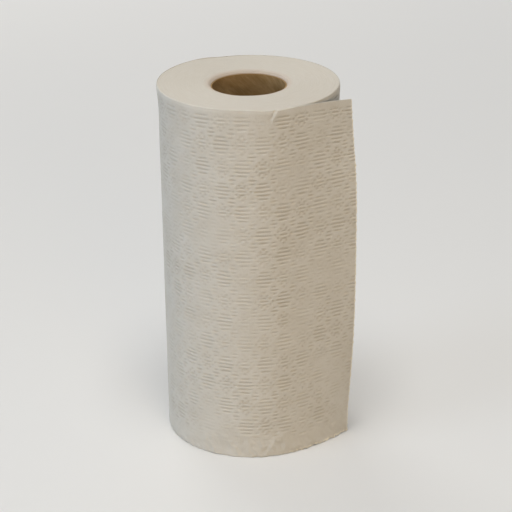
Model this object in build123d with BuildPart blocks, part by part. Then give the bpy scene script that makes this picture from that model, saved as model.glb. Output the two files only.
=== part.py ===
# A paper towel roll that stands on its end: one long two-ply sheet wound round
# a paperboard core, with the last few centimetres of the sheet sprung loose.
# Millimetres. +Z runs up the core's axis, and the origin is the point of that
# axis in the plane of the lower end.

from build123d import *

import math
import os

# Roll
ROLL_HEIGHT = 230.0
ROLL_RADIUS = 55.6
SHEET_THICKNESS = 0.45

# Core: a paperboard tube, cut a little shorter than the sheet is wide
CORE_BORE_RADIUS = 22.5
CORE_WALL = 0.7
CORE_RECESS = 2.2
GLUE_GAP = 0.05

# Loose tail: the angle at which the sheet leaves the roll, its free length,
# and the radius that it curls back to at each of four heights
TAIL_ANGLE = -63.0
TAIL_LENGTH = 44.5
TAIL_HEIGHT_SHARES = (0.0, 0.35, 0.75, 1.0)
TAIL_CURL_RADII = (130.0, 3000.0, 3000.0, 172.0)
TAIL_DROOP = 3.0

# Torn edge: the perforation leaves a short nub of thinned paper at every bond
BOND_PITCH = 6.0
BOND_WIDTH = 1.6
BOND_LENGTH = 0.8
BOND_THICKNESS = 0.25

# Pressed pattern: bars in a checkerboard, which the loose tail carries on
PATTERN_ROWS = 16
PATTERN_COLUMNS_HALF_TURN = 14
PATTERN_COLUMNS_TAIL = 3
PRESSED_BAR_LENGTH = 9.0
PRESSED_BAR_WIDTH = 1.4
PRESSED_BAR_DEPTH = 0.25

# Ends: eased rims, a dip round the core, and the spiral line of the turns
RIM_EASE = 0.8
DIP_WIDTH = 6.0
DIP_DEPTH = 0.8
TURN_LINE_COUNT = 4
TURN_LINE_WIDTH = 0.8
TURN_LINE_DEPTH = 0.3
TURN_LINE_MARGIN = 3.0

OVERRUN = 1.0

winding_radius = CORE_BORE_RADIUS + CORE_WALL + GLUE_GAP
inner_turn_radius = ROLL_RADIUS - SHEET_THICKNESS
dip_radius = winding_radius + DIP_WIDTH
first_line_radius = dip_radius + TURN_LINE_MARGIN
last_line_radius = inner_turn_radius - RIM_EASE - TURN_LINE_MARGIN
line_pitch = (last_line_radius - first_line_radius) / TURN_LINE_COUNT
row_height = ROLL_HEIGHT / PATTERN_ROWS
column_angle = 180 / PATTERN_COLUMNS_HALF_TURN


def on_angle(radius, angle):
    return (radius * math.cos(math.radians(angle)), radius * math.sin(math.radians(angle)))


def half_turns(pitch):
    """A spiral's two half turns, each as its starting angle and its radial plane.

    A spiral is drawn as half circles: the second half is centred half a pitch
    along TAIL_ANGLE, so that it starts and ends on its neighbours' radius.
    """
    halves = ((0, TAIL_ANGLE), (pitch / 2, TAIL_ANGLE + 180))
    return [
        (angle, Plane(on_angle(offset, TAIL_ANGLE), on_angle(1, angle), on_angle(1, angle - 90)))
        for offset, angle in halves
    ]


def tail_section(height, curl_radius):
    """The loose sheet's section at one height, curled back to the roll."""
    centre = on_angle(inner_turn_radius - curl_radius, TAIL_ANGLE)
    curl_angle = math.degrees(TAIL_LENGTH / curl_radius)
    with BuildSketch(Plane.XY.offset(height)) as section:
        with BuildLine():
            outer_face = CenterArc(centre, curl_radius + SHEET_THICKNESS, TAIL_ANGLE, curl_angle)
            inner_face = CenterArc(centre, curl_radius, TAIL_ANGLE, curl_angle)
            Line(outer_face @ 0, inner_face @ 0)
            Line(outer_face @ 1, inner_face @ 1)
        make_face()
    return section.sketch


# Core tube
with BuildPart() as core_tube:
    with BuildSketch():
        Circle(CORE_BORE_RADIUS + CORE_WALL)
        Circle(CORE_BORE_RADIUS, mode=Mode.SUBTRACT)
    extrude(amount=ROLL_HEIGHT - CORE_RECESS)
core_tube.part.label = "core_tube"

# Loose tail: its sections lofted, with the upper edge drooping to the free corner
with BuildPart() as loose_tail:
    loft(
        [
            tail_section(share * ROLL_HEIGHT, curl_radius)
            for share, curl_radius in zip(TAIL_HEIGHT_SHARES, TAIL_CURL_RADII)
        ]
    )
    root_corner = Vector(*on_angle(ROLL_RADIUS, TAIL_ANGLE)) + Vector(0, 0, ROLL_HEIGHT)
    outwards = Vector(*on_angle(1, TAIL_ANGLE))
    along_tail = Vector(*on_angle(TAIL_LENGTH, TAIL_ANGLE + 90))
    torn_face = loose_tail.faces().sort_by(Axis((0, 0, 0), along_tail))[-1]
    outer_face = loose_tail.faces().sort_by(Axis((0, 0, 0), outwards))[-1]
    upper_edge = along_tail - Vector(0, 0, TAIL_DROOP)
    split(bisect_by=Plane(root_corner, outwards, outwards.cross(upper_edge)), keep=Keep.BOTTOM)

    # Bonds along the torn edge
    bond_count = int(ROLL_HEIGHT / BOND_PITCH)
    bond_planes = []
    for bond in range(1, bond_count):
        bond_root = torn_face.position_at(1 / 2, bond / bond_count)
        bond_planes.append(Plane(bond_root, (0, 0, 1), torn_face.normal_at(bond_root)))
    with Locations(*bond_planes):
        Box(BOND_WIDTH, BOND_THICKNESS, 2 * BOND_LENGTH)

    # Bars pressed into the tail
    bar_planes = []
    for row in range(1, PATTERN_ROWS - 1):
        for column in range(row % 2, PATTERN_COLUMNS_TAIL, 2):
            bar_middle = outer_face.position_at(
                (column + 1 / 2) / PATTERN_COLUMNS_TAIL, (row + 1 / 2) / PATTERN_ROWS
            )
            bar_planes.append(Plane(bar_middle, (0, 0, 1), outer_face.normal_at(bar_middle)))
    with Locations(*bar_planes):
        Box(PRESSED_BAR_WIDTH, PRESSED_BAR_LENGTH, 2 * PRESSED_BAR_DEPTH, mode=Mode.SUBTRACT)

# Wound turns: two half turns that step out by one sheet where the tail leaves
with BuildPart() as towel_web:
    bar_places = []
    for (start_angle, plane), outer_radius in zip(
        half_turns(SHEET_THICKNESS),
        (inner_turn_radius, inner_turn_radius + SHEET_THICKNESS / 2),
    ):
        with BuildSketch(plane) as half_section:
            Rectangle(outer_radius, ROLL_HEIGHT, align=Align.MIN)
            chamfer(half_section.vertices().group_by(Axis.X)[-1], RIM_EASE)
        revolve(axis=Axis(plane.origin, (0, 0, 1)), revolution_arc=180)
        for row in range(1, PATTERN_ROWS):
            for column in range(row % 2, PATTERN_COLUMNS_HALF_TURN, 2):
                bar_angle = start_angle + (column + 1 / 2) * column_angle
                bar_middle = plane.origin + Vector(*on_angle(outer_radius, bar_angle))
                bar_middle += Vector(0, 0, (row + 1 / 2) * row_height)
                bar_places.append(Plane(bar_middle, (0, 0, 1), on_angle(1, bar_angle)))
    add(loose_tail.part)

    # Bars pressed into the outer turn
    with Locations(*bar_places):
        Box(PRESSED_BAR_WIDTH, PRESSED_BAR_LENGTH, 2 * PRESSED_BAR_DEPTH, mode=Mode.SUBTRACT)

    with BuildSketch():
        Circle(winding_radius)
    extrude(amount=ROLL_HEIGHT, mode=Mode.SUBTRACT)

    # Dips round the core, one in each end
    with BuildSketch(Plane.XZ):
        with BuildLine():
            Polyline(
                (winding_radius - OVERRUN, ROLL_HEIGHT - DIP_DEPTH),
                (winding_radius, ROLL_HEIGHT - DIP_DEPTH),
                (dip_radius, ROLL_HEIGHT),
                (dip_radius, ROLL_HEIGHT + OVERRUN),
                (winding_radius - OVERRUN, ROLL_HEIGHT + OVERRUN),
                close=True,
            )
        make_face()
        mirror(about=Plane.XY.offset(ROLL_HEIGHT / 2))
    revolve(axis=Axis.Z, mode=Mode.SUBTRACT)

    # Spiral line of the turns, a shallow groove in each end
    for (start_angle, plane), first_radius in zip(
        half_turns(line_pitch), (first_line_radius, first_line_radius + line_pitch / 2)
    ):
        with BuildSketch(plane):
            for turn in range(TURN_LINE_COUNT):
                for face_height, inwards in ((0, 1), (ROLL_HEIGHT, -1)):
                    radius = first_radius + turn * line_pitch
                    with BuildLine():
                        Polyline(
                            (radius - TURN_LINE_WIDTH, face_height - inwards * TURN_LINE_DEPTH),
                            (radius + TURN_LINE_WIDTH, face_height - inwards * TURN_LINE_DEPTH),
                            (radius, face_height + inwards * TURN_LINE_DEPTH),
                            close=True,
                        )
                    make_face()
        revolve(axis=Axis(plane.origin, (0, 0, 1)), revolution_arc=180, mode=Mode.SUBTRACT)
towel_web.part.label = "towel_web"

os.makedirs("parts", exist_ok=True)
export_step(core_tube.part, "parts/core_tube.step")
export_step(towel_web.part, "parts/towel_web.step")
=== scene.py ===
# %% [markdown]
# A paper towel roll, dressed around its solid model.
# The real thing is one long two-ply sheet, pressed with a pattern, wound some ninety times
# round a brown paperboard tube. The solids give its size and its main forms. This lesson adds
# what the eye looks for: the pressed pattern, the torn edge, the edges of the turns, and paper
# and board that look like themselves.

import math

import bmesh
import bpy
from mathutils import Matrix, Vector


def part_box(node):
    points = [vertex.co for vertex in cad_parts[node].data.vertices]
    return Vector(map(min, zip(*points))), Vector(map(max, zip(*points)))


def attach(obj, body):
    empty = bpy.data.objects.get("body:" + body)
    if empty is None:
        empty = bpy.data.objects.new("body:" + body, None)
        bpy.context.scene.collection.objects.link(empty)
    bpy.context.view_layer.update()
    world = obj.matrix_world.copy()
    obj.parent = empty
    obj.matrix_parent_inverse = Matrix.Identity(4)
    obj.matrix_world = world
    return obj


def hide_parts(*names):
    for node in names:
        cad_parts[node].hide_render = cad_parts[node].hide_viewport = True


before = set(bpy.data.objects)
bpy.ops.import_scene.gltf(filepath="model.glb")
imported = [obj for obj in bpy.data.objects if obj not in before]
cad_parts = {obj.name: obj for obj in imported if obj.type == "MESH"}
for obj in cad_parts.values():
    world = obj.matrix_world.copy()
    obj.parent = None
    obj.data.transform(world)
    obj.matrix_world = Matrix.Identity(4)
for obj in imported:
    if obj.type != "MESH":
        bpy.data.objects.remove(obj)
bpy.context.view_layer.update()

# %% [markdown]
# Sizes are in metres. The height, the roll's radius and the tube's size are read from the
# solids, so this script follows them. The rest are sizes of the paper itself: how thick it is,
# where it leaves the roll and how far it stands off.
# The outer turn is two half circles. The second half, which the tail runs on from, steps out
# by one sheet, so at the left of the roll the box falls a little short of the full radius.

# %% Sizes of the roll
MM = 0.001

web_low, web_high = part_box("towel_web")
core_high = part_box("core_tube")[1]

ROLL_HEIGHT = web_high[2]
TUBE_HEIGHT = core_high[2]
CORE_OUTER_RADIUS = core_high[0]
CORE_WALL = 0.7 * MM
SHEET_THICKNESS = 0.45 * MM
LEFT_SHORT_BY = 0.33 * MM
ROLL_RADIUS = -web_low[0] + LEFT_SHORT_BY
TAIL_ANGLE = math.radians(-63)
TAIL_LENGTH = 44.5 * MM

RADIUS_UNDER_TAIL = ROLL_RADIUS - SHEET_THICKNESS
RADIUS_SECOND_HALF = ROLL_RADIUS - SHEET_THICKNESS / 2
SECOND_HALF_LENGTH = math.pi * RADIUS_SECOND_HALF
TURN_LENGTH = SECOND_HALF_LENGTH + math.pi * RADIUS_UNDER_TAIL
print(f"height {ROLL_HEIGHT:.4f}, radius {ROLL_RADIUS:.4f}, outer turn {TURN_LENGTH:.4f} long")

# %% [markdown]
# Much of this roll follows a rule, so Geometry Nodes make it. A tree's arithmetic is hard to
# read as a list of nodes, so this small class lets the script write it as sums: adding two
# fields puts a Math node into the tree and hands back its output. The same class serves
# the materials, because both kinds of tree share the Math node.

# %% A field that can be added and multiplied
def feed(tree, slot, value):
    """Feeds an input from a field, from another node's output, or with a plain value."""
    if isinstance(value, Field):
        value = value.socket
    if isinstance(value, bpy.types.NodeSocket):
        tree.links.new(value, slot)
    else:
        slot.default_value = value


class Field:
    """A number worked out at every point of a surface, by nodes of one tree."""

    def __init__(self, tree, socket):
        self.tree = tree
        self.socket = socket

    def math(self, operation, *others):
        node = self.tree.nodes.new("ShaderNodeMath")
        node.operation = operation
        for slot, value in zip(node.inputs, (self, *others)):
            feed(self.tree, slot, value)
        return Field(self.tree, node.outputs[0])

    def __add__(self, other):
        return self.math("ADD", other)

    def __sub__(self, other):
        return self.math("SUBTRACT", other)

    def __mul__(self, other):
        return self.math("MULTIPLY", other)

    def __truediv__(self, other):
        return self.math("DIVIDE", other)

    def __neg__(self):
        return self * -1.0

    def __rsub__(self, number):
        return -self + number

    def cosine(self):
        return self.math("COSINE")

    def sine(self):
        return self.math("SINE")

    def distance(self):
        """How far from zero, whichever side."""
        return self.math("ABSOLUTE")

    def nearest(self):
        return self.math("ROUND")

    def whole(self):
        return self.math("FLOOR")

    def fraction(self):
        return self.math("FRACT")

    def remainder(self, other):
        return self.math("FLOORED_MODULO", other)

    def at_least(self, other):
        return self.math("MAXIMUM", other)

    def at_most(self, other):
        return self.math("MINIMUM", other)

    def is_over(self, other):
        return self.math("GREATER_THAN", other)

    def is_under(self, other):
        return self.math("LESS_THAN", other)

    def step_from(self, low, high):
        """Rises smoothly from 0 at low to 1 at high, and falls where high is below low."""
        node = self.tree.nodes.new("ShaderNodeMapRange")
        node.interpolation_type = "SMOOTHSTEP"
        for name, value in (("Value", self), ("From Min", low), ("From Max", high)):
            feed(self.tree, node.inputs[name], value)
        return Field(self.tree, node.outputs["Result"])

    def or_if(self, other, condition):
        """This field, or the other one where the condition is 1."""
        return self + (other - self) * condition

    def unless(self, condition):
        """This field, or 0 where the condition is 1."""
        return self * (1.0 - condition)

# %% [markdown]
# A few helpers start a tree, add a node to it and end it. Every tree gets a named input for
# each of its sizes, and ends by turning instances into real faces and giving them a material.
# Paper is never even, so one helper makes soft noise with a grain of its own each way.

# %% Start, fill and end a tree
def start_tree(name, sizes):
    """A new Geometry Nodes tree with one named number input for each size."""
    tree = bpy.data.node_groups.new(name, "GeometryNodeTree")
    tree.interface.new_socket("Geometry", in_out="OUTPUT", socket_type="NodeSocketGeometry")
    inputs = tree.nodes.new("NodeGroupInput")
    fields = {}
    for size_name, value in sizes.items():
        kind = "NodeSocketInt" if isinstance(value, int) else "NodeSocketFloat"
        item = tree.interface.new_socket(size_name, in_out="INPUT", socket_type=kind)
        item.default_value = value
        fields[size_name] = Field(tree, inputs.outputs[size_name])
    return tree, fields


def add_node(tree, kind, **values):
    """Adds a node and feeds its named inputs."""
    node = tree.nodes.new(kind)
    for name, value in values.items():
        feed(tree, node.inputs[name.replace("_", " ")], value)
    return node


def point_number(tree):
    return Field(tree, add_node(tree, "GeometryNodeInputIndex").outputs[0])


def parts_of(tree, vector):
    """The three numbers of a vector."""
    parts = add_node(tree, "ShaderNodeSeparateXYZ", Vector=vector)
    return [Field(tree, output) for output in parts.outputs]


def keep_on_points(tree, geometry, kind, name, value):
    """Stores a value on every point, for a material or for this script to read by its name."""
    known = tree.nodes.new("GeometryNodeStoreNamedAttribute")
    known.data_type = kind
    known.inputs["Name"].default_value = name
    feed(tree, known.inputs["Value"], value)
    feed(tree, known.inputs["Geometry"], geometry)
    return known.outputs["Geometry"]


def end_tree(tree, geometry, material):
    """Turns instances into real faces, gives them their material and ends the tree."""
    realize = add_node(tree, "GeometryNodeRealizeInstances", Geometry=geometry)
    paint = add_node(tree, "GeometryNodeSetMaterial", Geometry=realize.outputs["Geometry"])
    paint.inputs["Material"].default_value = material
    output = tree.nodes.new("NodeGroupOutput")
    tree.links.new(paint.outputs["Geometry"], output.inputs["Geometry"])
    print(f"tree {tree.name}: {len(tree.nodes)} nodes")


def uneven(tree, across, up, grain_across, grain_up, seed, height):
    """Smooth noise about zero, up to a height each way, with its own grain along and up."""
    place = add_node(
        tree, "ShaderNodeCombineXYZ", X=across / grain_across, Y=up / grain_up, Z=seed
    )
    noise = add_node(tree, "ShaderNodeTexNoise", Vector=place.outputs[0], Scale=1.0, Detail=2.0)
    return (Field(tree, noise.outputs[0]) - 0.5) * 2.0 * height

# %% [markdown]
# The pressed pattern. A towel's two plies are joined by a steel roller that presses marks
# into them, and the paper between the marks stands up in soft pillows. It could be bump in the
# material, but then the edge of the sheet and the mesh itself would stay flat, so the marks
# are real relief. The design is a plain one, a checkerboard of two motifs: a stack of bars that
# grow shorter away from its middle, and a ring of dots in a diamond's shape with three short
# bars inside it. Short dashes fill the corners where four motifs meet.

# %% Sizes of the pattern
MOTIFS_ROUND = 28
MOTIFS_UP = 16
BARS_PER_MOTIF = 6
ROWS_PER_MOTIF = 30
MOTIF_WIDTH = TURN_LENGTH / MOTIFS_ROUND
MOTIF_HEIGHT = ROLL_HEIGHT / MOTIFS_UP
BAR_PITCH = MOTIF_HEIGHT / BARS_PER_MOTIF
BAR_EDGE = (0.72 * MM, 0.22 * MM)
END_EDGE = 0.45 * MM
WIDE_STACK = {"reach": 0.42 * MOTIF_WIDTH, "each_way": 2.0, "taper": 0.25}
INNER_STACK = {"reach": 0.2 * MOTIF_WIDTH, "each_way": 1.0, "taper": 0.35}
DOTS_EACH_WAY = 3.0
DOT_ACROSS = MOTIF_WIDTH / 7
DOT_UP = MOTIF_HEIGHT * 4 / ROWS_PER_MOTIF
DOT_EDGE = (1.05 * MM, 0.35 * MM)
DOT_SHARE = 0.9
DASH_LENGTH = 1.8 * MM
DASH_TAPER = 0.5
pattern_sizes = [round(size / MM, 2) for size in (MOTIF_WIDTH, MOTIF_HEIGHT, BAR_PITCH)]
print("a motif's width and height and the bars' pitch in mm:", pattern_sizes)


# %% The pressed pattern as a rule
def bar_marks(x, y, reach, each_way, taper):
    """A stack of bars about a motif's middle, each shorter than the one nearer to it."""
    bar = (y / BAR_PITCH).nearest().at_least(-each_way).at_most(each_way)
    across = (y - bar * BAR_PITCH).distance().step_from(*BAR_EDGE)
    bar_end = (1.0 - bar.distance() * taper) * reach
    return across * (x - bar_end).step_from(END_EDGE, -END_EDGE)


def dot_marks(x, y):
    """Dots along the four sides of a diamond."""
    row = (y / DOT_UP).nearest().at_least(-DOTS_EACH_WAY).at_most(DOTS_EACH_WAY)
    dot_x = x + (row.distance() - DOTS_EACH_WAY) * DOT_ACROSS
    dot_y = y - row * DOT_UP
    return (dot_x * dot_x + dot_y * dot_y).math("SQRT").step_from(*DOT_EDGE) * DOT_SHARE


def dash_marks(x, y):
    """Three short dashes where the corners of four motifs meet."""
    corner_x = MOTIF_WIDTH / 2 - x
    corner_y = MOTIF_HEIGHT / 2 - y.distance()
    row = (corner_y / BAR_PITCH).nearest().at_most(1.0)
    across = (corner_y - row * BAR_PITCH).distance().step_from(*BAR_EDGE)
    dash_end = (1.0 - row * DASH_TAPER) * DASH_LENGTH
    return across * (corner_x - dash_end).step_from(END_EDGE, -END_EDGE)


def pressed_pattern(along, up):
    """How deep the roller pressed, 0 to 1, at a place on the flat sheet."""
    column = (along / MOTIF_WIDTH).whole()
    row = (up / MOTIF_HEIGHT).whole()
    x = (along - (column + 0.5) * MOTIF_WIDTH).distance()
    y = up - (row + 0.5) * MOTIF_HEIGHT
    is_diamond = (column + row).remainder(2.0)
    stack = bar_marks(x, y, **WIDE_STACK)
    diamond = dot_marks(x, y).at_least(bar_marks(x, y, **INNER_STACK))
    return stack.or_if(diamond, is_diamond).at_least(dash_marks(x, y))

# %% [markdown]
# From the flat sheet to the roll. The sheet is drawn flat first, with its length measured from
# the line where it leaves the roll: minus is wound, plus is loose. A rule then bends it. The
# wound part follows two half circles, whose centres lie half a sheet apart, so that the turn
# steps out by one thickness. The loose part curls back towards the roll, most at its two ends,
# where the paper is dry and free, and hardly at all halfway up.
# A roll in use isn't square: in its top two centimetres the outer turns have slid out a
# little, most at the left, and there they have slid up as well.

# %% The curl of the tail and the slid rim
# A share of the height, and the curl there
CURL_BY_HEIGHT = (
    (0.0, 8.4),
    (0.1, 6.8),
    (0.165, 5.0),
    (0.23, 3.4),
    (0.36, 1.0),
    (0.48, 0.0),
    (0.6, -0.4),
    (0.71, -0.4),
    (0.8, 1.1),
    (0.85, 2.8),
    (0.92, 4.8),
    (1.0, 6.6),
)
CURL_SCALE = 10.0
LOOSE_TOP = 20 * MM
FLARE_LEFT = 1.1 * MM
FLARE_RIGHT = 0.45 * MM
RIM_RISE = 0.85 * MM
RISE_ANGLE = math.radians(-165)
RISE_EDGE = (0.05, 0.3)


def curl_at(tree, height_share):
    """How sharply the tail curls at a share of the height, in radians for each metre."""
    curve = tree.nodes.new("ShaderNodeFloatCurve")
    points = curve.mapping.curves[0].points
    for index, (share, curl) in enumerate(CURL_BY_HEIGHT):
        point = points[index] if index < len(points) else points.new(share, 0)
        point.location = (share, 0.5 + curl / (2 * CURL_SCALE))
    curve.mapping.update()
    feed(tree, curve.inputs["Value"], height_share)
    return (Field(tree, curve.outputs[0]) - 0.5) * (2 * CURL_SCALE)


def slid_rim(angle):
    """How far the outer turns have slid out and up at the roll's top, at an angle round it."""
    side = angle.cosine()
    lopsided = side * ((FLARE_RIGHT - FLARE_LEFT) / 2) + (FLARE_RIGHT + FLARE_LEFT) / 2
    flare = side * side * lopsided
    rise = (angle - RISE_ANGLE).cosine().step_from(*RISE_EDGE) * RIM_RISE
    return flare, rise


# %% The bend of the sheet
def place_on_roll(tree, along, up, lift):
    """The point of the roll for a place on the flat sheet, lifted off its outer face."""
    cosine, sine = math.cos(TAIL_ANGLE), math.sin(TAIL_ANGLE)
    back = -along
    is_first_half = back.is_over(SECOND_HALF_LENGTH)
    angle_second = back * (-1 / RADIUS_SECOND_HALF) + TAIL_ANGLE
    angle_first = (back - SECOND_HALF_LENGTH) * (-1 / RADIUS_UNDER_TAIL) + (TAIL_ANGLE - math.pi)
    angle = angle_second.or_if(angle_first, is_first_half)
    flare, rise = slid_rim(angle)
    near_top = up.step_from(ROLL_HEIGHT - LOOSE_TOP, ROLL_HEIGHT)
    radius = lift + RADIUS_SECOND_HALF - is_first_half * (SHEET_THICKNESS / 2)
    radius = radius + flare * near_top * near_top
    centre = is_first_half * -(SHEET_THICKNESS / 2) + SHEET_THICKNESS / 2
    wound_x = angle.cosine() * radius + centre * cosine
    wound_y = angle.sine() * radius + centre * sine

    # So slight a bend needs only the first terms of an arc's series, which suit a flat sheet too
    bend = along * curl_at(tree, up / ROLL_HEIGHT)
    reach = along * (1.0 - bend * bend * (1 / 6))
    sink = along * bend * 0.5 * (1.0 - bend * bend * (1 / 12))
    out = lift * bend.cosine() + ROLL_RADIUS - sink
    ahead = reach + lift * bend.sine()
    loose_x = out * cosine - ahead * sine
    loose_y = out * sine + ahead * cosine

    is_loose = along.is_over(0.0)
    return add_node(
        tree,
        "ShaderNodeCombineXYZ",
        X=wound_x.or_if(loose_x, is_loose),
        Y=wound_y.or_if(loose_y, is_loose),
        Z=up + rise * near_top,
    ).outputs[0]

# %% [markdown]
# The relief of the sheet. The marks aren't all equally deep, because the steel roller bears
# harder in some places than in others, and the paper stretches between the marks. Between them
# it swells into pillows. The lowest centimetre has no marks and is wrinkled by the shelf that
# the roll stood on. The uppermost few millimetres have none either, and ripple. Each kind of
# unevenness has its own grain, seed and height.

# %% Marks, pillows and wrinkles
# Grain along the sheet, grain up it, seed and height
STRETCH_ALONG = (9 * MM, 12 * MM, 71.0, 0.7 * MM)
STRETCH_UP = (14 * MM, 9 * MM, 73.0, 0.5 * MM)
PRESSURE = (22 * MM, 34 * MM, 3.0, 1.5)
PILLOW = (4 * MM, 2.6 * MM, 11.0, 0.09 * MM)
SWELL = (40 * MM, 60 * MM, 23.0, 0.22 * MM)
WRINKLE = (6 * MM, 12 * MM, 31.0, 1.6 * MM)
PUCKER = (3.2 * MM, 4.5 * MM, 33.0, 0.5 * MM)
RIPPLE = (4.5 * MM, 30 * MM, 37.0, 0.22 * MM)
# Where each begins and where it is full, from the end that it belongs to
PLAIN_LOW_END = (6 * MM, 18 * MM)
PLAIN_TOP_END = (1.5 * MM, 6 * MM)
WRINKLE_RANGE = (20 * MM, 5 * MM)
PUCKER_RANGE = (15 * MM, 6 * MM)
RIPPLE_RANGE = (8 * MM, 1 * MM)
CALM_SIDE = (-95 * MM, -50 * MM)
PRESSURE_MEAN = 0.85
PRESSURE_LEAST = 0.25
PRESSURE_MOST = 1.3
WRINKLE_LEAN = 0.35
PUCKER_SQUEEZE = 1.4
CALM_SHARE = 0.3


def marks(tree, along, up, top_gap):
    """How deep the marks are at a place of the real sheet, with its stretch and wear."""
    stretched_along = along + uneven(tree, along, up, *STRETCH_ALONG)
    stretched_up = up + uneven(tree, along, up, *STRETCH_UP)
    strength = uneven(tree, along, up, *PRESSURE) + PRESSURE_MEAN
    strength = strength.at_least(PRESSURE_LEAST).at_most(PRESSURE_MOST)
    plain_ends = up.step_from(*PLAIN_LOW_END) * top_gap.step_from(*PLAIN_TOP_END)
    return pressed_pattern(stretched_along, stretched_up) * plain_ends * strength


def soft_forms(tree, along, up, top_gap, on_roll):
    """Pillows, a slow swell, wrinkles at the lower end and ripples at the upper one."""
    lean = along + up * WRINKLE_LEAN
    wrinkle = uneven(tree, lean, up, *WRINKLE) * up.step_from(*WRINKLE_RANGE)
    pucker = uneven(tree, lean * PUCKER_SQUEEZE, up, *PUCKER) * up.step_from(*PUCKER_RANGE)
    calm = along.step_from(*CALM_SIDE) * (1 - CALM_SHARE) + CALM_SHARE
    ripple = uneven(tree, along, up, *RIPPLE) * top_gap.step_from(*RIPPLE_RANGE)
    swell = uneven(tree, along, up, *SWELL) * on_roll
    return uneven(tree, along, up, *PILLOW) + swell + (wrinkle + pucker) * calm + ripple

# %% [markdown]
# Two folds and a line of slits. Where the tail starts to lift, a short sharp crease runs down
# from the top edge, and low down a softer fold slants across the root of the tail. At the back,
# where the last sheet meets the next, the perforation is a line of slits with a bond every six
# millimetres. The line is where one stretch of mesh ends and the next begins.

# %% Crease, fold and perforation
CREASE_TOP = -10.7 * MM
CREASE_LEAN = 0.5
CREASE_LENGTH = 11 * MM
CREASE_HEIGHT = 0.8 * MM
CREASE_FRONT = (-0.7 * MM, 0.5 * MM)
CREASE_BACK = (8 * MM, 0.5 * MM)
NICK_WIDTH = 1.1 * MM
NICK_SHARE = 1.3
FOLD_PLACE = -20 * MM
FOLD_LEAN = 0.55
FOLD_HEIGHT = 0.5 * MM
FOLD_FRONT = (-1.1 * MM, 0.5 * MM)
FOLD_BACK = (7 * MM, 0.5 * MM)
FOLD_FOOT = (1 * MM, 4 * MM)
FOLD_HEAD = (17 * MM, 10 * MM)
BOND_PITCH = 6 * MM
BOND_EDGE = (0.36, 0.40)
PERFORATION = -15 * MOTIF_WIDTH
SLIT_WIDTH = 0.8 * MM
SLIT_DEPTH = 0.36 * MM
print(f"the perforation lies {-PERFORATION / MM:.0f} mm before the tail leaves the roll")


def crease(along, top_gap):
    """A raised lip with a nick along its edge, fading out down the sheet."""
    beside = along - CREASE_TOP + top_gap * CREASE_LEAN
    raised = beside.step_from(*CREASE_FRONT) * beside.step_from(*CREASE_BACK)
    nick = beside.distance().step_from(NICK_WIDTH, 0.0)
    return (raised - nick * NICK_SHARE) * CREASE_HEIGHT * top_gap.step_from(CREASE_LENGTH, 0.0)


def low_fold(along, up):
    beside = along - FOLD_PLACE - up * FOLD_LEAN
    fold = beside.step_from(*FOLD_FRONT) * beside.step_from(*FOLD_BACK)
    return fold * up.step_from(*FOLD_FOOT) * up.step_from(*FOLD_HEAD) * FOLD_HEIGHT


def slit_to_bond(up):
    """Goes from 0 at the middle of a slit to a half at the middle of a bond."""
    return ((up / BOND_PITCH).fraction() - 0.5).distance()


def slits(along, bond):
    return (along - PERFORATION).distance().step_from(SLIT_WIDTH, 0.0) * (1.0 - bond) * SLIT_DEPTH

# %% [markdown]
# The edges of the sheet. The torn edge keeps a short nub of fibres at each bond and a fine
# fray between them. The lower edge of the tail is chewed where the saw caught it, and the upper
# edge droops to its free corner. The rims of the outer turn are eased, and its hidden face
# follows the body under it, so that no gap opens where the turn steps out.

# %% Torn edge, rims and lower edge
# Grain along, grain up, seed and height, where a line's noise needs only one of the grains
NUB = (1.0, 7 * MM, 43.0, 1.2)
FRAY = (1.0, 0.9 * MM, 41.0, 0.35 * MM)
CHEWED = (1.7 * MM, 1.0, 53.0, 1.0)
WAVY = (9 * MM, 1.0, 57.0, 1.0)
NUB_MEAN = 0.6
BOND_LENGTH = 0.5 * MM
TORN_REACH = 2.2 * MM
CHEWED_MEAN = 0.05
CHEWED_DEPTH = 4.5 * MM
CHEWED_SIDE = (-14 * MM, 8 * MM)
WAVY_MEAN = 0.1
WAVY_DEPTH = 0.9 * MM
LOWER_EDGE = 3.6 * MM
TAIL_DROOP = 3.8 * MM
DROOP_FROM = 0.75
RIM_TOP_REACH = 2.5 * MM
RIM_LOW_REACH = 1.2 * MM
RIM_DROP = 0.45 * MM
RIM_LIFT = 0.12 * MM
RIM_EASE = 0.6
ROOT_REACH = 2 * MM
ROOT_EDGE = -0.5 * MM
RELIEF_BEHIND = 0.7


def torn_edge(tree, along, up, bond):
    """The place along the sheet, with the torn edge's nubs and fray."""
    nub = bond * (uneven(tree, 0.0, up, *NUB) + NUB_MEAN).at_least(0.0)
    fray = uneven(tree, 0.0, up, *FRAY)
    at_edge = along.step_from(TAIL_LENGTH - TORN_REACH, TAIL_LENGTH + BOND_LENGTH)
    return along + (nub * BOND_LENGTH - BOND_LENGTH + fray) * at_edge


def face_in_front(up, lift, on_roll):
    """The height and lift of the face that shows, with its two rims eased."""
    top = up.step_from(ROLL_HEIGHT - RIM_TOP_REACH, ROLL_HEIGHT) * RIM_DROP
    low = up.step_from(RIM_LOW_REACH, 0.0) * RIM_LIFT
    return up + (low - top) * on_roll, lift - (low + top) * on_roll * RIM_EASE


def face_behind(along, lift):
    """The lift of the face behind: one sheet down, and further in where the turn steps out."""
    step = (along * (-1 / RADIUS_SECOND_HALF)).at_most(math.pi).cosine() + 1.0
    step = step * along.is_under(ROOT_EDGE) * (SHEET_THICKNESS / 2)
    loose = along.step_from(-ROOT_REACH, ROOT_REACH)
    return lift * loose * RELIEF_BEHIND - SHEET_THICKNESS - step


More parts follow.
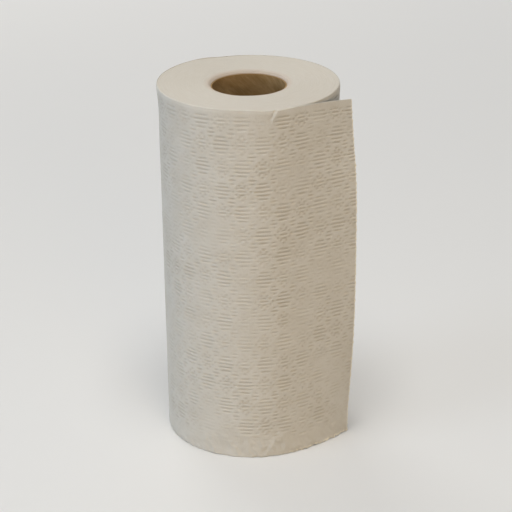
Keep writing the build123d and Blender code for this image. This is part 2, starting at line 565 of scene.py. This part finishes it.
def hanging_edges(tree, along, height):
    """The height, with the droop of the tail's upper edge and its chewed lower edge."""
    loose_share = along.at_least(0.0) / TAIL_LENGTH
    high = height.step_from(DROOP_FROM * ROLL_HEIGHT, ROLL_HEIGHT)
    droop = loose_share * loose_share * high * TAIL_DROOP
    chewed = (uneven(tree, along, 0.0, *CHEWED) + CHEWED_MEAN).at_least(0.0)
    chewed = chewed * along.step_from(*CHEWED_SIDE) * CHEWED_DEPTH
    wavy = (uneven(tree, along, 0.0, *WAVY) + WAVY_MEAN).at_least(0.0) * WAVY_DEPTH
    return height - droop + (chewed + wavy) * height.step_from(LOWER_EDGE, 0.0)

# %% [markdown]
# The sheet itself. One tree makes both faces of a stretch of the sheet: a fine grid for the
# face that shows, and for the face behind it either another fine grid or, where it lies hidden
# on the turn below, a grid of a few long rows. The grid's lines fall on the pattern's bars, so
# the marks come out crisp with few faces. Each point keeps its place on the flat sheet, for the
# material, and its place in the grid, for closing the edges later.

# %% The tree that makes a stretch of sheet
COLUMNS_PER_MOTIF = 14
SHEET_ROWS = MOTIFS_UP * ROWS_PER_MOTIF
ROWS_HIDDEN = 12
PRESS_DEPTH = 0.4 * MM
PRESS_LIMIT = 0.42 * MM
PUFF = 0.1 * MM
ROOT_LENGTH = 4 * MM


def sheet_face(tree, sizes, rows, is_outer):
    """One face of the sheet, flat, pressed, then bent round the roll."""
    grid = add_node(
        tree,
        "GeometryNodeMeshGrid",
        Size_X=1.0,
        Size_Y=1.0,
        Vertices_X=sizes["Columns"] + 1,
        Vertices_Y=rows + 1,
    )
    x, y, _ = parts_of(tree, add_node(tree, "GeometryNodeInputPosition").outputs[0])
    along = (x + 0.5) * (sizes["To"] - sizes["From"]) + sizes["From"]
    up = (y + 0.5) * sizes["Height"]
    top_gap = ROLL_HEIGHT - up
    on_roll = along.step_from(ROOT_LENGTH, -ROOT_LENGTH)

    pressed = marks(tree, along, up, top_gap)
    bond = slit_to_bond(up).step_from(*BOND_EDGE)
    relief = soft_forms(tree, along, up, top_gap, on_roll)
    relief = relief + crease(along, top_gap) + low_fold(along, up) - slits(along, bond)
    lift = (relief + PUFF - pressed * (sizes["Press Depth"] + PUFF)).at_least(-PRESS_LIMIT)

    along = torn_edge(tree, along, up, bond)
    if is_outer:
        height, lift = face_in_front(up, lift, on_roll)
    else:
        height, lift = up, face_behind(along, lift)
    place = place_on_roll(tree, along, hanging_edges(tree, along, height), lift)

    flat = add_node(tree, "ShaderNodeCombineXYZ", X=along, Y=up, Z=pressed)
    face = keep_on_points(
        tree, grid.outputs["Mesh"], "FLOAT_VECTOR", "flat_sheet", flat.outputs[0]
    )
    number = point_number(tree) if is_outer else -point_number(tree) - 1.0
    face = keep_on_points(tree, face, "INT", "grid_place", number)
    bent = add_node(tree, "GeometryNodeSetPosition", Geometry=face, Position=place)
    return bent.outputs["Geometry"]


def build_sheet_tree():
    sizes = {
        "From": -MOTIF_WIDTH,
        "To": TAIL_LENGTH,
        "Height": ROLL_HEIGHT,
        "Press Depth": PRESS_DEPTH,
        "Columns": 10,
        "Rows": SHEET_ROWS,
        "Rows Behind": ROWS_HIDDEN,
    }
    tree, sizes = start_tree("Stretch of pressed sheet", sizes)
    join = tree.nodes.new("GeometryNodeJoinGeometry")
    for rows, is_outer in ((sizes["Rows"], True), (sizes["Rows Behind"], False)):
        tree.links.new(sheet_face(tree, sizes, rows, is_outer), join.inputs["Geometry"])
    end_tree(tree, join.outputs["Geometry"], towel_paper)
    return tree

# %% [markdown]
# A tree is only a recipe. To get a piece, it runs on an empty object, and its result is copied
# to a plain mesh. An input is set by its socket's identifier, because names may repeat. The
# mesh then becomes an object that rides on the frame in place of the solids it stands for.

# %% From a tree to a piece
def plain_mesh(tree, name, **sizes):
    """Runs a tree on an empty object and keeps the result as a plain mesh of its own."""
    maker = bpy.data.objects.new(name + "_maker", bpy.data.meshes.new(name + "_start"))
    bpy.context.scene.collection.objects.link(maker)
    modifier = maker.modifiers.new("Geometry Nodes", "NODES")
    modifier.node_group = tree
    for size_name, value in sizes.items():
        socket = tree.interface.items_tree[size_name.replace("_", " ")]
        modifier[socket.identifier] = value
    evaluated = maker.evaluated_get(bpy.context.evaluated_depsgraph_get())
    mesh = bpy.data.meshes.new_from_object(evaluated)
    mesh.name = name
    # The empty object's own material slot comes first, and is dropped
    mesh.materials.pop(index=0)
    bpy.data.objects.remove(maker)
    return mesh


def finish_piece(name, mesh, nodes):
    """Puts a finished mesh on the roll, in place of the solids it stands for."""
    piece = bpy.data.objects.new(name, mesh)
    bpy.context.scene.collection.objects.link(piece)
    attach(piece, "root")
    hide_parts(*nodes)
    triangles = sum(len(polygon.vertices) - 2 for polygon in mesh.polygons)
    print(f"{name}: {triangles} triangles")

# %% [markdown]
# The finishes. Towel paper is matt and warm white, and it scatters light softly. It is crinkled
# by the blade that scrapes it off the drying drum, so fine ridges run up the sheet, and under a
# lens it is a felt of fibres. Both are far smaller than the pressed pattern, so they are bump,
# not mesh. They follow the flat sheet's own coordinates, which the tree stored on it.

# %% Helpers for every finish
def colour(red, green, blue):
    """A colour written as a screen shows it, changed to the numbers that light adds up in."""
    levels = []
    for level in (red, green, blue):
        levels.append(level / 12.92 if level <= 0.04045 else ((level + 0.055) / 1.055) ** 2.4)
    return (*levels, 1.0)


def start_material(name, **values):
    """A new material, its tree and its shader, with the shader's plain inputs set."""
    material = bpy.data.materials.new(name)
    material.use_nodes = True
    tree = material.node_tree
    shader = tree.nodes["Principled BSDF"]
    for input_name, value in values.items():
        shader.inputs[input_name.replace("_", " ")].default_value = value
    return material, tree, shader


def noise_of(tree, vector, scale, detail=4.0, stretch=(1.0, 1.0, 1.0)):
    mapping = add_node(tree, "ShaderNodeMapping", Vector=vector, Scale=stretch)
    noise = add_node(
        tree,
        "ShaderNodeTexNoise",
        Vector=mapping.outputs[0],
        Scale=scale,
        Detail=detail,
        Roughness=0.6,
    )
    return Field(tree, noise.outputs[0])


def blend_colours(tree, share, first, second):
    """Goes from the first colour to the second as the share goes from 0 to 1."""
    mix = tree.nodes.new("ShaderNodeMix")
    mix.data_type = "RGBA"
    feed(tree, mix.inputs["Factor"], share)
    for name, value in (("A", first), ("B", second)):
        slot = next(slot for slot in mix.inputs if slot.name == name and slot.type == "RGBA")
        feed(tree, slot, value)
    return next(slot for slot in mix.outputs if slot.type == "RGBA")


def add_bump(tree, shader, height, distance, strength):
    bump = add_node(tree, "ShaderNodeBump", Height=height, Distance=distance, Strength=strength)
    tree.links.new(bump.outputs[0], shader.inputs["Normal"])


def stored_place(tree, name):
    """The value that a Geometry Nodes tree kept on the points under this name."""
    stored = tree.nodes.new("ShaderNodeAttribute")
    stored.attribute_name = name
    return stored.outputs["Vector"]


# %% Towel paper
PAPER_LIGHT = colour(0.83, 0.814, 0.775)
PAPER_DARK = colour(0.80, 0.778, 0.73)
PAPER_PRESSED_AND_SHADED = colour(0.765, 0.735, 0.68)
PAPER_EDGE_HIGHLIGHT = colour(0.95, 0.925, 0.855)
PAPER_SLIT_SHADE = colour(0.50, 0.46, 0.40)
TORN_HIGHLIGHT_BAND = (TAIL_LENGTH - 1.3 * MM, TAIL_LENGTH - 0.5 * MM)
CHEWED_HIGHLIGHT_BAND = (2.2 * MM, 1.0 * MM)
SLIT_SHADE_BAND = (0.45 * MM, 0.15 * MM)
SLIT_SHADE_END = (0.38, 0.36)

towel_paper, tree, shader = start_material(
    "pressed_towel_paper", Roughness=0.92, Specular_IOR_Level=0.15, Sheen_Weight=0.05
)
flat = stored_place(tree, "flat_sheet")
along, up, pressed = parts_of(tree, flat)
cloud = noise_of(tree, flat, scale=60.0, stretch=(1.0, 1.0, 0.0))
fibre = noise_of(tree, flat, scale=2600.0, detail=3.0, stretch=(1.0, 0.55, 0.0))
crepe = noise_of(tree, flat, scale=1500.0, detail=3.0, stretch=(1.0, 0.22, 0.0))
clouds = (cloud * 0.7 + fibre * 0.5).step_from(0.35, 0.85)
tone = blend_colours(tree, clouds, PAPER_DARK, PAPER_LIGHT)
# The pressed marks are a shade darker: partly the denser pressed paper, partly painted shade in
# the dents
tone = blend_colours(tree, pressed * 0.6, tone, PAPER_PRESSED_AND_SHADED)

# Painted highlight along the torn edge, and in tufts along the chewed lower edge, where their
# frayed fibres catch the light
torn = along.step_from(*TORN_HIGHLIGHT_BAND) * 0.8
highlight_tufts = noise_of(tree, flat, scale=700.0, detail=3.0, stretch=(1.0, 0.5, 0.0))
highlight_tufts = highlight_tufts.step_from(0.4, 0.6)
chewed = up.step_from(*CHEWED_HIGHLIGHT_BAND) * along.step_from(*CHEWED_SIDE) * highlight_tufts
tone = blend_colours(tree, torn.at_least(chewed), tone, PAPER_EDGE_HIGHLIGHT)
# Painted shade in the slits of the perforation, between the bonds
between_bonds = slit_to_bond(up).step_from(*SLIT_SHADE_END)
slit = (along - PERFORATION).distance().step_from(*SLIT_SHADE_BAND) * between_bonds * 0.5
tone = blend_colours(tree, slit, tone, PAPER_SLIT_SHADE)
tree.links.new(tone, shader.inputs["Base Color"])
add_bump(tree, shader, crepe * 0.6 + fibre * 0.4, distance=0.3 * MM, strength=0.75)
print(f"{towel_paper.name}: {len(tree.nodes)} nodes")

# %% [markdown]
# Seen from the end, the same paper shows its cut edges, thousands of fibres chopped by the saw
# that parts one roll from the next. So the ends get their own finish: finer, a shade warmer,
# with faint rings where one turn meets the next, and a painted brownish shade round the tube,
# where the ends dip towards it.

# %% The cut ends of the turns
END_LIGHT = colour(0.82, 0.80, 0.76)
END_DARK = colour(0.785, 0.76, 0.71)
END_SHADE_BY_CORE = colour(0.76, 0.68, 0.61)
CORE_SHADE_WIDTH = 5 * MM
RING_GRAIN = 2 * MM

turn_edges, tree, shader = start_material(
    "cut_turn_edges", Roughness=0.95, Specular_IOR_Level=0.12
)
place = tree.nodes.new("ShaderNodeTexCoord").outputs["Object"]
x, y, _ = parts_of(tree, place)
from_axis = (x * x + y * y).math("SQRT")
round_angle = y.math("ARCTAN2", x)
rings = add_node(tree, "ShaderNodeCombineXYZ", X=from_axis, Y=round_angle * RING_GRAIN, Z=0.0)
ring_noise = noise_of(tree, rings.outputs[0], scale=1800.0, detail=3.0)
saw_dust = noise_of(tree, place, scale=2200.0)
turns = (ring_noise * 0.6 + saw_dust * 0.5).step_from(0.3, 0.8)
tone = blend_colours(tree, turns, END_DARK, END_LIGHT)
# Painted brownish shade on the ends round the tube, where they dip towards it
painted_core_shade = from_axis.step_from(CORE_OUTER_RADIUS + CORE_SHADE_WIDTH, CORE_OUTER_RADIUS) * 0.55
tone = blend_colours(tree, painted_core_shade, tone, END_SHADE_BY_CORE)
tree.links.new(tone, shader.inputs["Base Color"])
add_bump(tree, shader, ring_noise * 0.6 + saw_dust * 0.4, distance=0.3 * MM, strength=0.5)
print(f"{turn_edges.name}: {len(tree.nodes)} nodes")

# %% [markdown]
# The tube is raw brown board, wound on a slant from recycled pulp. Its colour is cloudy, with
# darker and lighter fibres that run with the winding.

# %% Core board
BOARD_DARK = colour(0.57, 0.455, 0.285)
BOARD_MID = colour(0.70, 0.58, 0.405)
BOARD_LIGHT = colour(0.80, 0.69, 0.515)

core_board, tree, shader = start_material(
    "brown_core_board", Roughness=0.8, Specular_IOR_Level=0.2
)
flat = stored_place(tree, "flat_board")
cloud = noise_of(tree, flat, scale=90.0, detail=5.0)
grain = noise_of(tree, flat, scale=900.0, stretch=(1.0, 0.15, 1.0))
fleck = noise_of(tree, flat, scale=1400.0, detail=2.0, stretch=(1.0, 0.5, 1.0))
tone = blend_colours(tree, cloud.step_from(0.3, 0.7), BOARD_DARK, BOARD_MID)
tone = blend_colours(tree, grain.step_from(0.5, 0.75) * 0.35, tone, BOARD_LIGHT)
tone = blend_colours(tree, fleck.step_from(0.68, 0.8) * 0.7, tone, BOARD_DARK)
tree.links.new(tone, shader.inputs["Base Color"])
add_bump(tree, shader, grain * 0.6 + fleck * 0.4, distance=0.2 * MM, strength=0.4)
print(f"{core_board.name}: {len(tree.nodes)} nodes")

# %% [markdown]
# A stretch of sheet comes out of its tree as two loose faces. Real paper has an edge, so the
# two are joined all round: small faces along the top, the bottom and the torn edge, and
# one flat face with many corners where a stretch ends against the next one.

# %% Close the edges of each stretch
def close_edges(mesh, columns, rows_behind):
    """Joins the face in front and the face behind round all four edges."""
    shape = bmesh.new()
    shape.from_mesh(mesh)
    place = shape.verts.layers.int["grid_place"]
    by_place = {vertex[place]: vertex for vertex in shape.verts}

    def front(column, row):
        return by_place[column * (SHEET_ROWS + 1) + row]

    def behind(column, row):
        return by_place[-1 - (column * (rows_behind + 1) + row)]

    for face in shape.faces:
        face.smooth = True
    edge_faces = []
    for column in range(columns):
        for edge, far_edge, turn in ((0, 0, 1), (SHEET_ROWS, rows_behind, -1)):
            corners = (
                front(column, edge),
                behind(column, far_edge),
                behind(column + 1, far_edge),
                front(column + 1, edge),
            )
            edge_faces.append(shape.faces.new(corners[::turn]))
    for column, turn in ((0, 1), (columns, -1)):
        if rows_behind == SHEET_ROWS:
            for row in range(SHEET_ROWS):
                corners = (
                    front(column, row),
                    behind(column, row),
                    behind(column, row + 1),
                    front(column, row + 1),
                )
                edge_faces.append(shape.faces.new(corners[::turn]))
        else:
            front_row = [front(column, row) for row in range(SHEET_ROWS + 1)]
            behind_row = [behind(column, row) for row in range(rows_behind, -1, -1)]
            edge_faces.append(shape.faces.new((front_row + behind_row)[::-turn]))
    for face in edge_faces:
        for edge in face.edges:
            edge.smooth = False
    bmesh.ops.recalc_face_normals(shape, faces=shape.faces)
    print(f"{mesh.name}: {sum(not edge.is_manifold for edge in shape.edges)} open edges")
    shape.to_mesh(mesh)
    shape.free()


# %% The three stretches of the sheet
COLUMN_WIDTH = MOTIF_WIDTH / COLUMNS_PER_MOTIF
SHEET_LINES = (-MOTIFS_ROUND * MOTIF_WIDTH, PERFORATION, -MOTIF_WIDTH, TAIL_LENGTH)
SHEET_NAMES = ("next_sheet_wound", "last_sheet_wound", "last_sheet_loose_end")

sheet_tree = build_sheet_tree()
for name, start, end in zip(SHEET_NAMES, SHEET_LINES, SHEET_LINES[1:]):
    columns = round((end - start) / COLUMN_WIDTH)
    rows_behind = SHEET_ROWS if end == TAIL_LENGTH else ROWS_HIDDEN
    mesh = plain_mesh(
        sheet_tree, name, From=start, To=end, Columns=columns, Rows_Behind=rows_behind
    )
    close_edges(mesh, columns, rows_behind)
    finish_piece(name, mesh, ["towel_web"])

# %% [markdown]
# The wound turns. Everything under the outermost turn is one firm body, and only its two ends
# can be seen. Each turn's edge there stands a hair above or below its neighbours, in bundles,
# because the winding tension drifts. Round the tube the ends dip, and the first turns roll over
# in a soft lip. One grid is rolled into a closed ring for it: up the outside, across the top,
# down the tube and back across the bottom. Its outside stays straight up to a foot line, and
# above that the top follows the slid rim of the outer turn.

# %% The tree that makes the body
BODY_RADIUS = RADIUS_UNDER_TAIL - SHEET_THICKNESS - 0.02 * MM
WINDING_RADIUS = CORE_OUTER_RADIUS + 0.05 * MM
BODY_SEGMENTS = 144
TURN_PITCH = 0.45 * MM
RINGS_PER_TURN = 4
RIDGE_EDGE = (0.5, 0.15)
RIDGE_HEIGHT = 0.09 * MM
BUNDLE_GRAIN = (0.9 * MM, 1.2)
BUNDLE_HEIGHT = 0.12 * MM
DRIFT = (14 * MM, 14 * MM, 67.0, 0.22 * MM)
DIP_WIDTH = 6 * MM
DIP_DEPTH = 0.8 * MM
LIP_WIDTH = 1.6 * MM
LIP_DROP = 0.9 * MM
ROUNDED_RIM = 1.2 * MM
ROUNDED_DROP = 0.1 * MM
END_SINK = 0.25 * MM
FLARE_FOOT = 12 * MM
FLARE_WIDTH = 15 * MM
MERGE_WITHIN = 0.001 * MM


def end_level(tree, sizes, radius, angle, x, y):
    """How far an end of the roll stands out at a place on it: ridges, bundles, dip and lip."""
    spiral = (radius / sizes["Turn Pitch"] - angle / math.tau).fraction()
    ridge = (spiral - 0.5).distance().step_from(*RIDGE_EDGE) * RIDGE_HEIGHT
    bundle = uneven(
        tree, radius, angle.cosine(), *BUNDLE_GRAIN, seed=angle.sine(), height=BUNDLE_HEIGHT
    )
    inner, outer = sizes["Inner Radius"], sizes["Outer Radius"]
    near_core = (1.0 - (radius - inner) / DIP_WIDTH).at_least(0.0)
    lip = radius.step_from(inner + LIP_WIDTH, inner) * LIP_DROP
    dip = near_core * near_core * DIP_DEPTH + lip
    rim = radius.step_from(outer - ROUNDED_RIM, outer) * ROUNDED_DROP
    return ridge + bundle + uneven(tree, x, y, *DRIFT) - dip - rim - END_SINK


def roll_up(tree, geometry, place):
    """Moves a grid's points into a closed ring and merges the lines where it meets itself."""
    bent = add_node(tree, "GeometryNodeSetPosition", Geometry=geometry, Position=place)
    return add_node(
        tree,
        "GeometryNodeMergeByDistance",
        Geometry=bent.outputs["Geometry"],
        Distance=MERGE_WITHIN,
    ).outputs["Geometry"]


def build_body_tree():
    sizes = {
        "Inner Radius": WINDING_RADIUS,
        "Outer Radius": BODY_RADIUS,
        "Height": ROLL_HEIGHT,
        "Turn Pitch": TURN_PITCH,
        "Rings": 10,
        "Segments": BODY_SEGMENTS,
    }
    tree, sizes = start_tree("Wound turns", sizes)
    rings, inner, outer = sizes["Rings"], sizes["Inner Radius"], sizes["Outer Radius"]

    # Rows of the grid: across the bottom, the foot line, across the top, and closed again
    last_row = rings * 2 + 2
    grid = add_node(
        tree,
        "GeometryNodeMeshGrid",
        Vertices_X=sizes["Segments"] + 1,
        Vertices_Y=last_row + 1,
    )
    grid_place = add_node(tree, "GeometryNodeInputPosition").outputs[0]
    angle = (parts_of(tree, grid_place)[0] + 0.5) * math.tau + TAIL_ANGLE
    row = point_number(tree).remainder(last_row + 1)
    row_of_top = row - rings - 1.0
    is_foot_or_top = row_of_top.is_over(-0.5)
    is_closing = row.is_over(last_row - 0.5)
    share = row.or_if(rings - row_of_top + 1.0, is_foot_or_top) / rings
    share = share.at_most(1.0).unless(is_closing)
    radius = inner + share * (outer - inner)

    is_upper = (is_foot_or_top - is_closing).at_least(0.0)
    is_top = row_of_top.is_over(0.5) * is_upper
    flare, rise = slid_rim(angle)
    slid_radius = radius + flare * radius.step_from(outer - FLARE_WIDTH, outer) * is_top
    x = angle.cosine() * slid_radius
    y = angle.sine() * slid_radius
    level = end_level(tree, sizes, radius, angle, x, y)
    foot = sizes["Height"] - FLARE_FOOT
    upper = foot.or_if(level + sizes["Height"] + rise * share, is_top)
    height = (-level).or_if(upper, is_upper)
    place = add_node(tree, "ShaderNodeCombineXYZ", X=x, Y=y, Z=height)
    end_tree(tree, roll_up(tree, grid.outputs["Mesh"], place.outputs[0]), turn_edges)
    return tree


# %% Roll up the body
# A face belongs to a wall where its normal rises or falls by less than this
WALL_TILT = 0.3


def smooth_ring(mesh):
    """Turns a closed ring's faces outwards and smooths them, but not across its square rims."""
    shape = bmesh.new()
    shape.from_mesh(mesh)
    bmesh.ops.recalc_face_normals(shape, faces=shape.faces)
    for face in shape.faces:
        face.smooth = True
    for edge in shape.edges:
        is_wall = {abs(face.normal.z) < WALL_TILT for face in edge.link_faces}
        edge.smooth = len(is_wall) == 1
    print(f"{mesh.name}: {sum(not edge.is_manifold for edge in shape.edges)} open edges")
    shape.to_mesh(mesh)
    shape.free()


ring_count = round((BODY_RADIUS - WINDING_RADIUS) / TURN_PITCH * RINGS_PER_TURN)
body_mesh = plain_mesh(build_body_tree(), "wound_turns", Rings=ring_count)
smooth_ring(body_mesh)
finish_piece("wound_turns", body_mesh, ["towel_web"])

# %% [markdown]
# The tube is made of two ribbons of board, wound on a slant so that each covers the other's
# joint. On its inside the ribbon's edge shows as a shallow slanting groove, and its ends are cut
# square. The grid is sheared before it is rolled, so the groove lies exactly along one line of
# it and needs no fine mesh.

# %% The tree that makes the tube
TUBE_COLUMNS = 96
TUBE_ROWS = 90
RIBBON_LEAD = 150 * MM
GROOVE_DEPTH = 0.25 * MM
WALL_UNEVEN = (1.0, 60 * MM, 5.0, 0.06 * MM)

# Lines of the ring: up the outside, down the inside, and closed again
LAST_INNER_LINE = 2 * TUBE_ROWS + 1
LINES_ROUND = LAST_INNER_LINE + 2


def build_tube_tree():
    sizes = {
        "Outer Radius": CORE_OUTER_RADIUS,
        "Wall": CORE_WALL,
        "Height": TUBE_HEIGHT,
        "Groove Depth": GROOVE_DEPTH,
    }
    tree, sizes = start_tree("Core tube", sizes)
    grid = add_node(
        tree, "GeometryNodeMeshGrid", Vertices_X=TUBE_COLUMNS + 1, Vertices_Y=LINES_ROUND
    )
    number = point_number(tree)
    row = number.remainder(LINES_ROUND)
    column = (number / LINES_ROUND).whole()
    inner = row.is_over(TUBE_ROWS + 0.5) * row.is_under(LAST_INNER_LINE + 0.5)
    share = row.or_if(LAST_INNER_LINE - row, inner) / TUBE_ROWS
    share = share.unless(row.is_over(LAST_INNER_LINE + 0.5))
    up = share * sizes["Height"]
    angle = column * (math.tau / TUBE_COLUMNS) + up * (math.tau / RIBBON_LEAD)
    on_groove = (column - TUBE_COLUMNS / 2).distance().is_under(0.5)
    groove = on_groove * sizes["Groove Depth"] * inner
    wall = sizes["Wall"] + uneven(tree, angle.sine(), up, *WALL_UNEVEN) * inner - groove
    radius = sizes["Outer Radius"] - wall * inner
    place = add_node(
        tree,
        "ShaderNodeCombineXYZ",
        X=angle.cosine() * radius,
        Y=angle.sine() * radius,
        Z=up,
    )
    along = column * (math.tau / TUBE_COLUMNS) * CORE_OUTER_RADIUS
    flat = add_node(tree, "ShaderNodeCombineXYZ", X=along, Y=up, Z=inner)
    wound = keep_on_points(
        tree, grid.outputs["Mesh"], "FLOAT_VECTOR", "flat_board", flat.outputs[0]
    )
    end_tree(tree, roll_up(tree, wound, place.outputs[0]), core_board)
    return tree


tube_mesh = plain_mesh(build_tube_tree(), "board_tube")
smooth_ring(tube_mesh)
finish_piece("board_tube", tube_mesh, ["core_tube"])

# %% [markdown]
# The stage is a pale floor that runs on past the view. To the camera alone it is a little
# lighter than it is to the lamps, which is done by its material and not by more light. The
# world does the same: it lights the roll softly, and a mirror would see it pale.

# %% Floor and surroundings
FLOOR_LIGHT = colour(0.86, 0.86, 0.85)
FLOOR_DARK = colour(0.85, 0.85, 0.845)
FLOOR_GLOW = (1.0, 1.0, 0.99, 1.0)
FLOOR_REACH = 6.0
FLOOR_SIDES = ((-1, -1), (1, -1), (1, 1), (-1, 1))
FLOOR_GAP = 0.1 * MM
GLOW_RANGE = (0.3, 2.4)
GLOW_NEAR = 0.07
GLOW_ADDED_FAR = 0.27
WORLD_AS_LIGHT = (0.235, 0.235, 0.24, 1.0)
WORLD_AS_SEEN = colour(0.93, 0.93, 0.925)


def seen_directly(tree):
    """1 for what the camera, a mirror or glass sees, and 0 for light on its way to the roll."""
    rays = tree.nodes.new("ShaderNodeLightPath")
    kinds = ("Is Camera Ray", "Is Glossy Ray", "Is Transmission Ray")
    camera, mirror, glass = (Field(tree, rays.outputs[kind]) for kind in kinds)
    return (camera + mirror + glass).at_most(1.0)


floor_mesh = bpy.data.meshes.new("floor")
floor_corners = [(x * FLOOR_REACH, y * FLOOR_REACH, 0) for x, y in FLOOR_SIDES]
floor_mesh.from_pydata(floor_corners, [], [(0, 1, 2, 3)])
floor = bpy.data.objects.new("floor", floor_mesh)
bpy.context.scene.collection.objects.link(floor)
floor.location.z = -FLOOR_GAP
floor_paint, tree, shader = start_material(
    "floor_paint", Roughness=0.9, Emission_Color=FLOOR_GLOW
)
place = tree.nodes.new("ShaderNodeTexCoord").outputs["Object"]
tone = blend_colours(tree, noise_of(tree, place, scale=3.0), FLOOR_DARK, FLOOR_LIGHT)
tree.links.new(tone, shader.inputs["Base Color"])
away = add_node(tree, "ShaderNodeVectorMath", Vector=place)
away.operation = "LENGTH"
glow = Field(tree, away.outputs["Value"]).step_from(*GLOW_RANGE) * GLOW_ADDED_FAR + GLOW_NEAR
feed(tree, shader.inputs["Emission Strength"], glow * seen_directly(tree))
floor_mesh.materials.append(floor_paint)

world = bpy.data.worlds.new("studio")
world.use_nodes = True
bpy.context.scene.world = world
tree = world.node_tree
sky = tree.nodes["Background"]
tone = blend_colours(tree, seen_directly(tree), WORLD_AS_LIGHT, WORLD_AS_SEEN)
tree.links.new(tone, sky.inputs["Color"])
sky.inputs["Strength"].default_value = 1.0
print(f"floor {2 * FLOOR_REACH:.0f} m wide, {FLOOR_GAP / MM:.1f} mm under the roll")

# %% [markdown]
# Four soft lamps. A large one above and a little in front gives the roll its plain light, and
# one behind keeps its back from going dark. Two small low ones give the paper its warm right
# side and its cool left side, as a lamp and a window would. Their beams are narrow, and they
# hang clear of the floor, so that they don't brighten it beside them.

# %% Lamps
WARM_WHITE = (1.0, 0.98, 0.95)
AMBER = (1.0, 0.66, 0.28)
SKY_BLUE = (0.66, 0.80, 1.0)
WIDE_BEAM = 180
NARROW_BEAM = 70
roll_middle = Vector((0.0, 0.0, ROLL_HEIGHT / 2))


def soft_lamp(name, place, width, power, tint, beam):
    """A square lamp of a width in metres and a power in watts, turned to the roll's middle."""
    light = bpy.data.lights.new(name, "AREA")
    light.size = width
    light.spread = math.radians(beam)
    light.energy = power
    light.color = tint
    lamp = bpy.data.objects.new(name, light)
    bpy.context.scene.collection.objects.link(lamp)
    lamp.location = place
    lamp.rotation_mode = "QUATERNION"
    lamp.rotation_quaternion = (roll_middle - Vector(place)).to_track_quat("-Z", "Y")
    print(f"lamp {name}: {power} W, {(roll_middle - Vector(place)).length:.2f} m away")


LAMPS = (
    ("overhead", (0.0, -0.45, 1.9), 0.8, 19.4, WARM_WHITE, WIDE_BEAM),
    ("warm_right", (0.5, -1.62, 0.34), 0.6, 0.83, AMBER, NARROW_BEAM),
    ("cool_left", (-1.65, -0.7, 0.45), 0.8, 1.75, SKY_BLUE, NARROW_BEAM),
    ("fill_behind", (-0.9, 2.2, 1.5), 1.4, 19.5, WARM_WHITE, WIDE_BEAM),
)
for lamp in LAMPS:
    soft_lamp(*lamp)

# %% [markdown]
# The camera stands where the photograph was taken from: a little over a metre off and looking
# down by 23.5 degrees, through a long lens, which keeps the roll's sides nearly upright.
# It is turned by a fraction of a degree about its own line of sight, as a hand-held one is.

# %% Camera
CAMERA_PLACE = Vector((0.0, -1.0662, 0.5780))
CAMERA_HEADING = 0.0028
CAMERA_DIP = 0.4102
CAMERA_ROLL = -0.0139
CAMERA_LENS = 128.97

forward = Vector(
    (
        math.sin(CAMERA_HEADING) * math.cos(CAMERA_DIP),
        math.cos(CAMERA_HEADING) * math.cos(CAMERA_DIP),
        -math.sin(CAMERA_DIP),
    )
)
level_right = forward.cross(Vector((0, 0, 1))).normalized()
level_up = level_right.cross(forward)
right = level_right * math.cos(CAMERA_ROLL) + level_up * math.sin(CAMERA_ROLL)
up = level_up * math.cos(CAMERA_ROLL) - level_right * math.sin(CAMERA_ROLL)
turn = Matrix((right, up, -forward)).transposed()
lens = bpy.data.cameras.new("camera")
lens.lens = CAMERA_LENS
camera = bpy.data.objects.new("camera", lens)
bpy.context.scene.collection.objects.link(camera)
camera.matrix_world = Matrix.Translation(CAMERA_PLACE) @ turn.to_4x4()
bpy.context.scene.camera = camera
bpy.context.scene.view_settings.view_transform = "Standard"
print(f"camera {(CAMERA_PLACE - roll_middle).length:.2f} m from the roll's middle")
